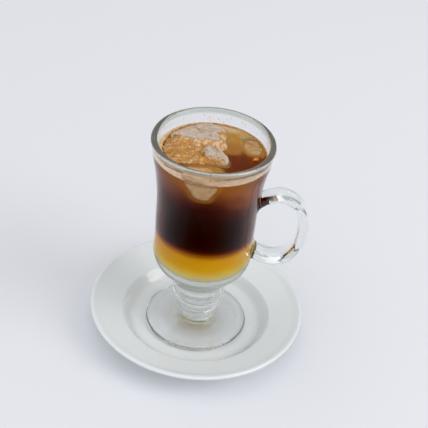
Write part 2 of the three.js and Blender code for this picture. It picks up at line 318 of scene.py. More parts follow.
def saucer_outline(s):
    """The saucer from the axis below, round its rim, back to the axis above."""
    rim, top = SAUCER_HIGH.x, SAUCER_HIGH.z
    ring, lip, high = s.ring_radius / MM, s.lip_radius / MM, s.lip_height / MM
    floor, well = s.well_floor / MM, s.well_radius / MM
    below = [
        (ring - 6, 1.8), (ring - 2.8, 1.8), (ring - 2.1, 0.5), (ring - 1.3, 0), (ring + 1.3, 0),
        (ring + 2.3, 0.6), (well + 1.8, 3.2), (lip + 0.4, 8.6), (lip + 2.4, 9.8), (rim - 11, 12.6),
        (rim - 1.6, 15.9), (rim - 0.3, 16.9), (rim, 17.9), (rim - 0.5, top - 0.1), (rim - 1.7, top),
    ]
    above = [
        (rim - 6, 17.1), (rim - 13, 14.8), (lip + 2.2, high + 0.7), (lip, high), (lip - 1.4, high - 1.4),
        (well + 1.6, floor + 1.6), (well, floor + 0.5), (well - 2, floor), (well - 8, floor),
    ]
    return np.vstack([[(0, 1.8)], curve_through(below + above, 6, rounded=True), [(0, floor)]])


def bowl_inside(s):
    """The inside of the bowl, from the lip down to its round floor."""
    body, wall = s.body_radius / MM, s.wall / MM
    mouth, rim, floor = -GLASS_LOW.x, GLASS_HIGH.z, s.bowl_floor / MM
    return curve_through([
        (mouth - 2 * LIP, rim - LIP_LOW), (body + 5.2 - wall, 143), (body + 4.6 - wall, 138),
        (body + 2.2 - wall, 127), (body + 0.7 - wall, 115), (body - 0.2 - wall, 102), (body - 0.6 - wall, 88),
        (body - 1.1 - wall, 78), (27.2, 69.5), (24, 63), (18.2, floor + 2.2), (10.4, floor + 0.5), (0, floor),
    ], 10)


def glass_outline(s):
    """The mug without its handle: from the axis under the foot, over the lip, down to the bowl's floor."""
    mouth, rim, low = -GLASS_LOW.x, GLASS_HIGH.z, GLASS_LOW.z
    body, foot, stem = s.body_radius / MM, s.foot_radius / MM, s.stem_radius / MM
    knob, middle = s.knob_radius / MM, s.knob_height / MM
    base = [
        (12, low + 1.5), (24, low + 1.2), (27.6, low + 0.2), (29.6, low), (31.8, low),
        (foot - 0.6, low + 0.6), (foot, low + 1.7), (foot - 0.6, low + 2.8), (foot - 2, low + 3.4),
        (28.6, low + 3.4), (22, low + 4.6), (16.2, low + 6.4), (stem - 0.2, low + 8.6),
        (stem - 0.7, 15.2), (stem + 0.3, 17), (stem + 0.6, 18.6), (stem + 0.2, 20.2), (stem - 0.5, 21.2),
        (stem + 0.5, 22.6), (stem + 0.8, 23.8), (stem + 0.4, 25), (stem + 1.7, 26.6), (stem + 2, 27.9),
        (knob - 0.9, middle - 3.2), (knob, middle), (knob - 0.5, middle + 2.8), (knob - 1.2, middle + 4),
    ]
    bowl = [
        (16.2, 38), (18.6, 42.6), (21.8, 47.6), (26.2, 52.6), (30.2, 58.2), (body + 0.1, 65),
        (body - 0.2, 74), (body, 90), (body + 0.2, 104), (body + 1, 116), (body + 2.4, 127),
        (body + 4.6, 138), (mouth - 0.3, rim - 3.6),
    ]
    turns = [math.pi * share for share in (0, 0.17, 0.33, 0.5, 0.67, 0.83)]
    bead = [(mouth - LIP + LIP * math.cos(a), rim - LIP + LIP * math.sin(a)) for a in turns]
    lip = [(mouth - 0.3, rim - 3.6), *bead, (mouth - 2 * LIP, rim - LIP_LOW)]
    return np.vstack([
        [(0, low + 1.6)], curve_through(base, 5, rounded=True), curve_through(bowl, 7),
        curve_through(lip, 6, rounded=True)[1:-1], bowl_inside(s),
    ])


def inside_radius(outline, height):
    """The radius of the bowl's inside at a height, from its outline."""
    rising = outline[::-1]
    return np.interp(height, rising[:, 1], rising[:, 0])


# Meshes


def new_piece(name, vertices, faces, material):
    """A smooth mesh object of points in millimetres."""
    mesh = bpy.data.meshes.new(name)
    mesh.from_pydata((np.asarray(vertices, float) * MM).tolist(), [], faces)
    mesh.materials.append(material)
    mesh.shade_smooth()
    piece = bpy.data.objects.new(name, mesh)
    bpy.context.scene.collection.objects.link(piece)
    return piece


def mark(piece, name, values, domain="POINT"):
    """Keeps a number for each point or face of a piece, which its material reads."""
    piece.data.attributes.new(name, "FLOAT", domain).data.foreach_set("value", values)


def outward(angle):
    """The level direction at an angle round the axis."""
    return Vector((math.cos(angle), math.sin(angle), 0))


def quads(rows, around, closed=False):
    """Faces between rings of points that follow one another, and from the last to the first if closed."""
    faces = []
    for i in range(rows if closed else rows - 1):
        here, there = i * around, (i + 1) % rows * around
        for j in range(around):
            k = (j + 1) % around
            faces.append((here + j, here + k, there + k, there + j))
    return faces


def turned(outline, segments):
    """Points and faces of a body of revolution whose outline starts and ends on the axis."""
    outline = np.asarray(outline, float)
    angles = 2 * np.pi * np.arange(segments) / segments
    rings = outline[1:-1]
    count = len(rings)
    x = np.outer(rings[:, 0], np.cos(angles)).ravel()
    y = np.outer(rings[:, 0], np.sin(angles)).ravel()
    z = np.repeat(rings[:, 1], segments)
    points = np.vstack([np.column_stack([x, y, z]), [(0, 0, outline[0, 1]), (0, 0, outline[-1, 1])]])
    faces, bottom, last = quads(count, segments), count * segments, (count - 1) * segments
    for j in range(segments):
        k = (j + 1) % segments
        faces += [(bottom, k, j), (bottom + 1, last + j, last + k)]
    return points, faces


def joined(piece, other):
    """Fuses the other object into the piece, and removes the other."""
    union = piece.modifiers.new("union", "BOOLEAN")
    union.operation = "UNION"
    union.solver = "EXACT"
    union.object = other
    shown = piece.evaluated_get(bpy.context.evaluated_depsgraph_get())
    mesh = bpy.data.meshes.new_from_object(shown)
    piece.modifiers.remove(union)
    piece.data = mesh
    bpy.data.objects.remove(other)


def handle_strap(s):
    """Points and faces of the handle, a strap with a rounded section and a fillet at each root."""
    steps, sides = 96, 40
    body, reach = s.body_radius / MM, s.handle_reach / MM
    top, bottom = s.handle_top / MM, s.handle_bottom / MM
    line = curve_through([
        (body - ROOT_DEPTH, top - 5.2), (body + 1.4, top - 4.8), (body + 6, top - 2.2), (45, top),
        (52, top - 2), (58.4, top - 8.2), (reach, top - 18), (reach, bottom + 20.5), (58.8, bottom + 10),
        (53, bottom + 2.8), (45, bottom), (body + 6.5, bottom + 1.2), (body + 1.4, bottom + 3.4),
        (body - ROOT_DEPTH, bottom + 3.8),
    ], 40, rounded=True)
    travelled = np.concatenate([[0], np.cumsum(np.linalg.norm(np.diff(line, axis=0), axis=1))])
    whole = travelled[-1]

    def fillet(distance, radius):
        left = radius - np.clip(distance, 0, radius)
        return radius - math.sqrt(radius ** 2 - left ** 2)

    def smoothstep(value, low, high):
        share = np.clip((value - low) / (high - low), 0, 1)
        return share * share * (3 - 2 * share)

    points = []
    for i in range(steps + 1):
        even = i / steps
        t = even - ROOT_CROWDING * math.sin(2 * math.pi * even) / (2 * math.pi)
        centre = np.array([np.interp(t * whole, travelled, line[:, c]) for c in (0, 1)])
        near = np.clip([t * whole - 0.1, t * whole + 0.1], 0, whole)
        before, after = (np.array([np.interp(d, travelled, line[:, c]) for c in (0, 1)]) for d in near)
        along = (after - before) / np.linalg.norm(after - before)
        from_top, from_bottom = t * whole - ROOT_DEPTH, (1 - t) * whole - ROOT_DEPTH
        lower = smoothstep(t, *LOWER_STRAP_SPAN)
        widened, thickened = (
            fillet(from_top, above) + fillet(from_bottom, below)
            for above, below in zip(TOP_ROOT_FILLET, BOTTOM_ROOT_FILLET)
        )
        half_width = s.handle_width / MM / 2 * (1 + LOWER_STRAP_WIDER * lower) + widened
        half_thick = s.handle_thickness / MM / 2 * (1 + LOWER_STRAP_THICKER * lower) + thickened
        hug = 1 - smoothstep(min(from_top, from_bottom), 0, ROOT_HUG)
        for j in range(sides):
            a = 2 * math.pi * j / sides
            across = math.copysign(abs(math.cos(a)) ** STRAP_SQUARENESS, math.cos(a)) * half_width
            out = math.copysign(abs(math.sin(a)) ** STRAP_SQUARENESS, math.sin(a)) * half_thick
            drop = body - math.sqrt(body ** 2 - across ** 2)
            points.append((centre[0] - along[1] * out - drop * hug, across, centre[1] + along[0] * out))
    ends = [tuple(range(sides - 1, -1, -1)), tuple(range(steps * sides, (steps + 1) * sides))]
    return points, quads(steps + 1, sides) + ends


# Ice


class Block(NamedTuple):
    """A block of ice: its outline from above, its lowest and highest places, and what softens its form."""

    name: str
    plan: list
    low: float
    high: float
    tilt: tuple
    phase: float
    edge: float = 8
    draft: float = 0.1
    wave: float = 0.6
    steeped: bool = True


BLOCKS_SHOWN = [
    Block("ice_back_slab", [
        (-27.4, 12.6), (-21, 7.6), (-12, 7), (7, 9.6), (8, 20), (6, 26.4), (-4, 31.2), (-12, 28),
        (-21.4, 20.6),
    ], 127.5, 141.8, tilt=(-0.02, 0.03), phase=1.3, edge=12, draft=0.12, wave=0.7, steeped=False),
    Block("ice_centre_shard", [
        (-5, 5.6), (-5.4, -1.5), (-1.4, -9.4), (4.6, -12.4), (9.6, -12.2), (9.6, -8), (3.2, 2),
    ], 125, 142.2, tilt=(0.2, 0.18), phase=4.1, edge=10, steeped=False),
    Block("ice_right_cube", [
        (18.4, 9.6), (22.5, 2.4), (31.2, 3), (31, 11), (26, 19), (19.4, 19.2),
    ], 126.5, 140.2, tilt=(-0.03, 0.02), phase=2.2, wave=0.5),
    Block("ice_front_lump", [
        (-14, -21), (-13.8, -27.5), (-7, -33), (1, -33.8), (6.5, -30), (8.8, -22.5), (5, -16),
    ], 126.5, 140.4, tilt=(-0.1, -0.02), phase=5.6, edge=7, draft=0.4, wave=0.7),
]

BLOCKS_SUNK = [
    Block("ice_sunk_centre", [
        (3, 7.5), (8, 2.4), (16.4, 2.4), (18.2, 9), (18.4, 17), (12.5, 21.5), (7.4, 20.5),
    ], 123, 139, tilt=(0.04, 0.02), phase=0.4, draft=0.05),
    Block("ice_sunk_front", [
        (-17, -10.5), (-14.6, -18), (-4, -17.4), (2, -15.6), (7.6, -14.8), (1, -12), (-8, -9.5),
    ], 130, 139, tilt=(0.02, 0.05), phase=2.3, edge=5, wave=0.5),
    Block("ice_sunk_right", [
        (9, -11), (12, -18.6), (18, -20), (23.4, -13), (22.6, -6), (14, -5),
    ], 110, 130, tilt=(0.1, 0.1), phase=3.1, edge=3),
    Block("ice_sunk_left", [
        (-28, 1), (-26, -10), (-18, -15), (-9, -8), (-8.5, 3), (-18, 7),
    ], 118, 136.5, tilt=(0.15, -0.1), phase=2.7, edge=7),
    Block("ice_sunk_back", [
        (-18, 10), (-6, 2), (4, 10), (2, 22), (-10, 24),
    ], 106, 124, tilt=(-0.2, 0.1), phase=5),
    Block("ice_sunk_deep", [
        (-6, -14), (8, -12), (11, -1), (0, 4), (-10, -3),
    ], 102, 119, tilt=(0.1, 0.15), phase=1.9),
]

# A small chip tinted orange, which stands in for an orange glint: painted light.
CHIP = Block("orange_chip", [
    (24.6, -3.6), (28.2, -3), (28, -0.6), (25.8, 0),
], 138.8, 140.6, tilt=(0.05, -0.1), phase=0.9, edge=6, wave=0.2)


def sides_of(block):
    """The planes that bound a block of ice, as outward directions and distances from its middle."""
    plan = np.array(block.plan, float)
    middle = np.array([*plan.mean(axis=0), (block.low + block.high) / 2])
    ends = np.roll(plan, -1, axis=0)
    across = np.column_stack([ends[:, 1] - plan[:, 1], plan[:, 0] - ends[:, 0]])
    across /= np.linalg.norm(across, axis=1)[:, None]
    distances = ((plan - middle[:2]) * across).sum(axis=1)
    half = (block.high - block.low) / 2
    walls = np.column_stack([across, np.full(len(plan), -block.draft)])
    top = np.array([-block.tilt[0], -block.tilt[1], 1])
    normals = np.vstack([walls, [top], [(0, 0, -1)]])
    return middle, normals, np.array([*distances, half, half])


def block_of_ice(block, s, material, inside):
    """A melted block of ice with rounded edges, kept clear of the wall of the glass."""
    form = bmesh.new()
    bmesh.ops.create_icosphere(form, subdivisions=s.detail, radius=1)
    form.verts.ensure_lookup_table()
    directions = np.array([v.co.normalized() for v in form.verts])
    faces = [tuple(v.index for v in f.verts) for f in form.faces]
    form.free()
    middle, normals, distances = sides_of(block)
    facing = np.maximum(directions @ normals.T, 0) / distances
    radius = (facing ** block.edge).sum(axis=1) ** (-1 / block.edge)
    phase = block.phase
    x, y, z = (directions * ICE_RIPPLE).T
    radius += block.wave * np.sin(x + phase) * np.cos(y - phase) * np.sin(z + 2 * phase)
    relief = s.relief / MM
    for i, direction in enumerate(directions):
        place = Vector(direction * radius[i]) + Vector((phase * 17, phase * 5, 0))
        hollows = noise.noise(place / 5) + 0.4 * noise.noise(place / 1.8)
        radius[i] += relief * (hollows - 0.35)
    points = middle + directions * radius[:, None]
    room = inside_radius(inside, points[:, 2]) - s.clearance / MM
    points[:, :2] *= np.minimum(1, room / np.hypot(points[:, 0], points[:, 1]))[:, None]
    return new_piece(block.name, points, faces, material)


def surface_tree(scene, word):
    """A tree that finds the nearest place on the pieces with a word in their names, in millimetres."""
    points, faces = [], []
    for piece in [o for o in scene.objects if word in o.name]:
        first = len(points)
        points += [v.co / MM for v in piece.data.vertices]
        faces += [tuple(first + i for i in f.vertices) for f in piece.data.polygons]
    return BVHTree.FromPolygons(points, faces)


# Materials


def add_node(tree, kind, inputs=None, stops=(), **settings):
    """Adds a shader node with its settings, its colour stops, and a value or a link for each input.

    Colours may be sRGB hex, and a node that is given as a value is linked from its first output in use.
    """
    made = tree.nodes.new("ShaderNode" + kind)
    for name, value in settings.items():
        setattr(made, name, value)
    for i, (position, value) in enumerate(stops):
        elements = made.color_ramp.elements
        element = elements[i] if i < len(elements) else elements.new(position)
        element.position = position
        element.color = linear(value) if isinstance(value, str) else value
    for key, value in (inputs or {}).items():
        if isinstance(value, str):
            value = linear(value)
        if isinstance(value, bpy.types.Node):
            value = next(output for output in value.outputs if output.enabled)
        if isinstance(value, bpy.types.NodeSocket):
            tree.links.new(value, made.inputs[key])
        else:
            made.inputs[key].default_value = value
    return made


def material_of(build, *values, name=None):
    """A material of the surface, and of the volume where there is one, that a function builds."""
    material = bpy.data.materials.new(name or build.__name__)
    material.use_nodes = True
    material.node_tree.nodes.clear()
    add = partial(add_node, material.node_tree)
    add("OutputMaterial", dict(zip(("Surface", "Volume"), build(add, *values))))
    return material


def porcelain_glazed(add, s):
    """Hard porcelain under a clear fired glaze: white, smooth and evenly glossy, with a faint unevenness."""
    place = add("TexCoord").outputs["Object"]
    # The glaze lies in soft waves about 22 mm long.
    waves = add("TexNoise", {"Vector": place, "Scale": 45, "Detail": 2})
    bump = add("Bump", {"Height": waves, "Strength": 0.12, "Distance": 0.4 * MM})
    shade = add("Mix", {"Factor": waves, 6: s.glaze, 7: [c * 0.96 for c in s.glaze]}, data_type="RGBA")
    # A painted pool of light: the glaze is painted brighter below the foot of the glass, where light is
    # caught between the glaze and the foot.
    radius = add("VectorMath", {0: place, 1: (1, 1, 0)}, operation="MULTIPLY")
    away = add("VectorMath", {0: radius}, operation="LENGTH")
    under = add("MapRange", {
        "Value": away, "From Min": 31 * MM, "From Max": 34 * MM, "To Min": 1.0, "To Max": 0.0,
    })
    lit = add("Mix", {"Factor": under, 6: shade, 7: s.glaze_under}, data_type="RGBA")
    surface = add("BsdfPrincipled", {
        "Base Color": lit, "Roughness": 0.16, "IOR": 1.5, "Coat Weight": 0.6, "Coat Roughness": 0.04,
        "Normal": bump,
    })
    return [surface]


def soda_glass_pressed(add, s):
    """Soda-lime glass, pressed and fire polished: clear, a little wavy, grey-green where it is thick.

    The mesh carries how much the glass reflects in "mirror": hardly at all where the drink wets it,
    because the two are nearly alike in density, and little on the outer wall beside the dark drink. The
    thick lip and the thick bottom of the bowl, up to 1 in "thick", are softer in their polish, faintly
    cloudy and painted a darker grey-green: partly the glass's own tint where it is thick, partly painted
    shade for the dark surroundings seen in them.
    """
    place = add("TexCoord").outputs["Object"]
    mirror = add("Attribute", attribute_name="mirror").outputs["Color"]
    thick = add("Attribute", attribute_name="thick").outputs["Fac"]
    # The lip and the thick bottom are painted a darker grey-green: partly the glass's own tint, partly
    # painted shade.
    tone = add("Mix", {"Factor": thick, 6: s.clear, 7: s.clouded}, data_type="RGBA")
    soft = add("Math", {0: thick, 1: THICK_SOFTNESS}, operation="MULTIPLY")
    clearness = add("MapRange", {"Value": thick, "To Min": 1.0, "To Max": 1 - THICK_CLOUD})
    # Pressing leaves shallow waves about 14 mm long.
    waves = add("TexNoise", {"Vector": place, "Scale": 70, "Detail": 1})
    bump = add("Bump", {"Height": waves, "Strength": 0.1, "Distance": 0.4 * MM})
    surface = add("BsdfPrincipled", {
        "Base Color": tone, "Roughness": soft, "IOR": 1.5, "Transmission Weight": clearness,
        "Specular Tint": mirror, "Normal": bump,
    })
    depth = add("VolumeAbsorption", {"Color": s.thick, "Density": s.density})
    return [surface, depth]


def orange_juice_cloudy(add, s):
    """Strained orange juice: cloudy and softly glowing, browner where the coffee mixes into it."""
    place = add("TexCoord").outputs["Object"]
    height = add("SeparateXYZ", {"Vector": place}).outputs["Z"]
    top = s.layer_level
    share = add("MapRange", {"Value": height, "From Min": top - 26 * MM, "From Max": top})
    tone = add("ValToRGB", {"Fac": share}, stops=[
        (0.08, s.juice_settled), (0.28, s.juice_pale), (0.52, s.juice_bright), (0.86, s.juice),
        (1.0, s.juice_stained),
    ])
    surface = add("BsdfPrincipled", {
        "Base Color": tone, "Roughness": 0.3, "IOR": 1.34, "Specular IOR Level": 0.1,
        "Subsurface Weight": 1.0, "Subsurface Radius": (1.0, 0.6, 0.15), "Subsurface Scale": 3 * MM,
    })
    return [surface]


def cold_brew_filtered(add, s):
    """Filtered cold brew: amber near the ice and at its surface, nearly black where it is deep.

    A fine cloud in it catches the light. Its colour is painted lighter and more amber high up, partly for
    the drink that the ice thins and partly as painted light; it is painted redder at the sides and made
    clearer at the back, which is painted light. The drink is thinner, paler and clearer where ice melts
    into it, which the mesh carries in "melt". The face that lies against the wall of the glass hardly
    reflects. The open surface, 1 in "still", reflects as water does, and is painted paler towards the
    back with painted light.
    """
    place = add("TexCoord").outputs["Object"]
    x, y, z = add("SeparateXYZ", {"Vector": place}).outputs
    melt = add("Attribute", attribute_name="melt").outputs["Fac"]
    still = add("Attribute", attribute_name="still").outputs["Fac"]

    # Swirls of thinner drink, about 22 mm across.
    swirls = add("TexNoise", {"Vector": place, "Scale": 45, "Detail": 4, "Distortion": 0.8})
    swirl = add("MapRange", {"Value": swirls, "From Min": 0.3, "From Max": 0.7, "To Min": -1.0})
    # The lighter, amber drink high up is partly the drink thinned by the ice and partly painted light; as
    # painted light it reaches lower at both sides, and lowest on the side of the handle.
    wide = add("Math", {0: x}, operation="ABSOLUTE")
    height = z
    for value, share in ((wide, 0.26), (x, 0.14), (swirl, 3 * MM)):
        height = add("Math", {0: value, 1: share, 2: height}, operation="MULTIPLY_ADD")
    settled = add("MapRange", {"Value": z, "From Min": s.layer_level, "From Max": s.layer_level + 7 * MM})
    low = add("ValToRGB", {"Fac": settled}, stops=[
        (0.0, "#b8620c"), (0.2, "#702c06"), (0.5, "#340a02"), (1.0, "#220300"),
    ])
    risen = add("MapRange", {"Value": height, "From Min": 110 * MM, "From Max": s.drink_level})
    high = add("ValToRGB", {"Fac": risen}, stops=[
        (0.0, "#220300"), (0.25, "#380701"), (0.5, "#5e1800"), (0.78, "#aa4c00"), (1.0, "#cc7408"),
    ])
    thinned = add("ValToRGB", {"Fac": melt}, stops=[(0.4, "#f2921c"), (0.8, "#f0a850"), (0.92, "#ffead6")])
    above = add("Math", {0: z, 1: 100 * MM}, operation="GREATER_THAN")
    # The drink is painted redder at the sides of the glass, where the sight line through it is short: painted
    # light.
    beside = add("MapRange", {"Value": wide, "From Min": 21 * MM, "From Max": 31 * MM, "To Max": 0.7})
    near_ice = add("MapRange", {"Value": melt, "From Max": 0.5})
    side = low
    for share, tone in ((above, high), (beside, "#8a340a"), (near_ice, thinned)):
        side = add("Mix", {"Factor": share, 6: side, 7: tone}, data_type="RGBA")
    # The drink is made clearer at the back than at the front: painted light, for the light that comes in
    # through the back. The front shows more of the cloud than of the depth.
    facing = add("MapRange", {
        "Value": y, "From Min": -12 * MM, "From Max": 12 * MM, "To Min": 0.3, "To Max": 0.85,
    })
    shallow = add("MapRange", {"Value": height, "From Min": 110 * MM, "From Max": 130 * MM})
    lit = add("Math", {0: facing, 1: shallow}, operation="MULTIPLY")
    side_clear = add("Math", {0: lit, 1: melt}, operation="MAXIMUM")
    clearness = add("Mix", {0: still, 2: side_clear, 3: 0.62})

    # The open surface is painted paler towards the back: painted light, where the light comes through it.
    behind = add("MapRange", {"Value": y, "From Min": -34 * MM, "From Max": 34 * MM})
    back = add("Math", {0: swirl, 1: 0.16, 2: behind}, operation="MULTIPLY_ADD")
    open_tone_and_painted_light = add("ValToRGB", {"Fac": back}, stops=[
        (0.1, "#983c00"), (0.45, "#a04600"), (0.62, "#c87a14"), (0.72, "#ecc056"),
        (0.84, "#fff0b4"), (0.96, "#fff6dc"),
    ])
    surface_tone = add("Mix", {"Factor": melt, 6: open_tone_and_painted_light, 7: "#e4b05c"}, data_type="RGBA")
    tone, mirror = (
        add("Mix", {"Factor": still, 6: first, 7: second}, data_type="RGBA")
        for first, second in ((side, surface_tone), ([WETTED_MIRROR] * 3 + [1], [STILL_MIRROR] * 3 + [1]))
    )
    surface = add("BsdfPrincipled", {
        "Base Color": tone, "Roughness": 0.0, "IOR": 1.34,
        "Transmission Weight": clearness, "Specular Tint": mirror,
    })
    depth = add("VolumeAbsorption", {"Color": s.brew, "Density": s.brew_strength})
    return [surface, depth]


def ice_melting(add, s, level):
    """Cloudy ice, wet and half melted: pale and translucent, with fine bubbles and a film of coffee."""
    place = add("TexCoord").outputs["Object"]
    # Clouds of trapped air about 9 mm across, and fine ripples of about 1.5 mm from melting.
    clouds = add("TexNoise", {"Vector": place, "Scale": 110, "Detail": 3, "Distortion": 0.6})
    share = add("MapRange", {"Value": clouds, "From Min": 0.26, "From Max": 0.52})
    # Coffee clings to the lowest 2 mm above the drink.
    height = add("SeparateXYZ", {"Vector": place}).outputs["Z"]
    dry = add("MapRange", {
        "Value": height, "From Min": level + 0.1 * MM, "From Max": level + 2 * MM, "To Min": 0.25,
    })
    clean = add("Math", {0: share, 1: dry}, operation="MULTIPLY")
    tone = add("Mix", {"Factor": clean, 6: s.stained, 7: s.pale}, data_type="RGBA")
    ripples = add("TexNoise", {"Vector": place, "Scale": 650, "Detail": 2})
    # Shallow hollows about 7 mm across, where the slab has melted faster.
    hollows = add("TexNoise", {"Vector": place, "Scale": 150, "Detail": 1, "Distortion": 1.2})
    dented = add("Bump", {"Height": hollows, "Strength": 0.9, "Distance": 5 * MM})
    bump = add("Bump", {"Height": ripples, "Strength": 0.3, "Distance": 0.25 * MM, "Normal": dented})
    surface = add("BsdfPrincipled", {
        "Base Color": tone, "Roughness": 0.15, "IOR": 1.31, "Transmission Weight": 0.1,
        "Subsurface Weight": 1.0, "Subsurface Radius": (1.0, 0.85, 0.7), "Subsurface Scale": 3 * MM,
        "Normal": bump,
    })
    return [surface]


def ice_steeped(add, s, level):
    """Cloudy ice below the surface: pale, soft and without gloss, because the drink wets it all round.

    What reaches the surface there is washed by the drink, and is tan.
    """
    place = add("TexCoord").outputs["Object"]
    # Clouds of trapped air about 6 mm across.
    clouds = add("TexNoise", {"Vector": place, "Scale": 160, "Detail": 3, "Distortion": 1.2})
    share = add("MapRange", {"Value": clouds, "From Min": 0.35, "From Max": 0.6})
    dim = [c * d for c, d in zip(s.steeped[:3], (0.9, 0.78, 0.68))] + [1.0]
    below = add("Mix", {"Factor": share, 6: dim, 7: s.steeped}, data_type="RGBA")
    height = add("SeparateXYZ", {"Vector": place}).outputs["Z"]
    risen = add("MapRange", {"Value": height, "From Min": level - 1.5 * MM, "From Max": level + 0.3 * MM})
    browned = [c * d for c, d in zip(s.washed[:3], (0.75, 0.6, 0.42))] + [1.0]
    top = add("Mix", {"Factor": share, 6: browned, 7: s.washed}, data_type="RGBA")
    tone = add("Mix", {"Factor": risen, 6: below, 7: top}, data_type="RGBA")
    surface = add("BsdfPrincipled", {
        "Base Color": tone, "Roughness": 0.6, "IOR": 1.31, "Specular IOR Level": 0.0,
        "Subsurface Weight": 1.0, "Subsurface Radius": (1.0, 0.8, 0.6), "Subsurface Scale": 2 * MM,
    })
    return [surface]


def orange_peel(add, tone):
    """A small chip, tinted orange all over as a painted glint: waxy, with a soft gloss and light that sinks
    in a little.
    """
    surface = add("BsdfPrincipled", {
        "Base Color": tone, "Roughness": 0.35, "IOR": 1.4,
        "Subsurface Weight": 0.5, "Subsurface Radius": (1.0, 0.5, 0.2), "Subsurface Scale": 0.8 * MM,
    })
    return [surface]


def coffee_froth(add, s):
    """Fine coffee froth: matt and golden, paler where it is thick at the wall, dark in the open bubbles.

    The mesh carries how pale it is in "cream" and where its bubbles have opened in "pit".
    """
    place = add("TexCoord").outputs["Object"]
    cream = add("Attribute", attribute_name="cream").outputs["Fac"]
    pit = add("Attribute", attribute_name="pit").outputs["Fac"]
    # Patches of thinner and thicker froth, about 5 mm across.
    patches = add("TexNoise", {"Vector": place, "Scale": 200, "Detail": 3})
    share = add("MapRange", {"Value": patches, "From Min": 0.35, "From Max": 0.65})
    stained = [c * 0.78 for c in s.foam[:3]] + [1.0]
    golden = add("Mix", {"Factor": share, 6: stained, 7: s.foam}, data_type="RGBA")
    pale = add("Mix", {"Factor": cream, 6: golden, 7: s.foam_pale}, data_type="RGBA")
    tone = add("Mix", {"Factor": pit, 6: pale, 7: s.foam_dark}, data_type="RGBA")
    surface = add("BsdfPrincipled", {
        "Base Color": tone, "Roughness": 0.35, "IOR": 1.33,
        "Subsurface Weight": 0.6, "Subsurface Radius": (1.0, 0.7, 0.35), "Subsurface Scale": 1 * MM,
    })
    return [surface]


def liquid_film(add, tint):
    """A clear drop or bubble skin of the drink: glossy, and tinted by what little coffee it holds."""
    surface = add("BsdfPrincipled", {
        "Base Color": tint, "Roughness": 0.02, "IOR": 1.33, "Transmission Weight": 1.0,
    })
    return [surface]


def table_laminate(add, tone):
    """Pale laminate: matt and even, with hardly any gloss."""
    return [add("BsdfPrincipled", {"Base Color": tone, "Roughness": 0.55})]


# Froth


SHEETS = [
    [
        (-31, 3), (-29, 11), (-24, 13.5), (-17, 11), (-10, 9.4), (-5, 5), (-5, -2), (-7, -7), (-16, -14.5),
        (-24, -13), (-29.5, -6),
    ],
    [
        (-19, -9), (-10, -6), (-4.4, -3.6), (1.5, -7), (8, -9.6), (7, -11.6), (1, -12.6), (-4, -11.8),
        (-13, -15),
    ],
    [(-12, 10.6), (-2, 11.6), (7, 13.4), (9.4, 7), (5, 3.4), (-1, 6), (-6, 2)],
    [(3.4, 26), (7.6, 22), (8, 12), (4.6, 12), (1.4, 20)],
]


def distance_inside(x, y, plan):
    """How far a place lies inside an outline of straight sides, less than zero when it is outside."""
    nearest, within = 1e9, False
    for (x0, y0), (x1, y1) in zip(plan, plan[1:] + plan[:1]):
        along = ((x - x0) * (x1 - x0) + (y - y0) * (y1 - y0)) / ((x1 - x0) ** 2 + (y1 - y0) ** 2)
        along = min(1, max(0, along))
        nearest = min(nearest, math.hypot(x - x0 - along * (x1 - x0), y - y0 - along * (y1 - y0)))
        if (y0 > y) != (y1 > y) and x < (x1 - x0) * (y - y0) / (y1 - y0) + x0:
            within = not within
    return nearest if within else -nearest


def froth_depth(x, y):
    """How far a place lies inside any of the ragged patches of froth."""
    ragged = 1.6 * noise.noise(Vector((x, y, 3)) / 3.2) + 0.7 * noise.noise(Vector((x, y, 9)) / 1.1)
    return max(distance_inside(x, y, plan) for plan in SHEETS) + ragged


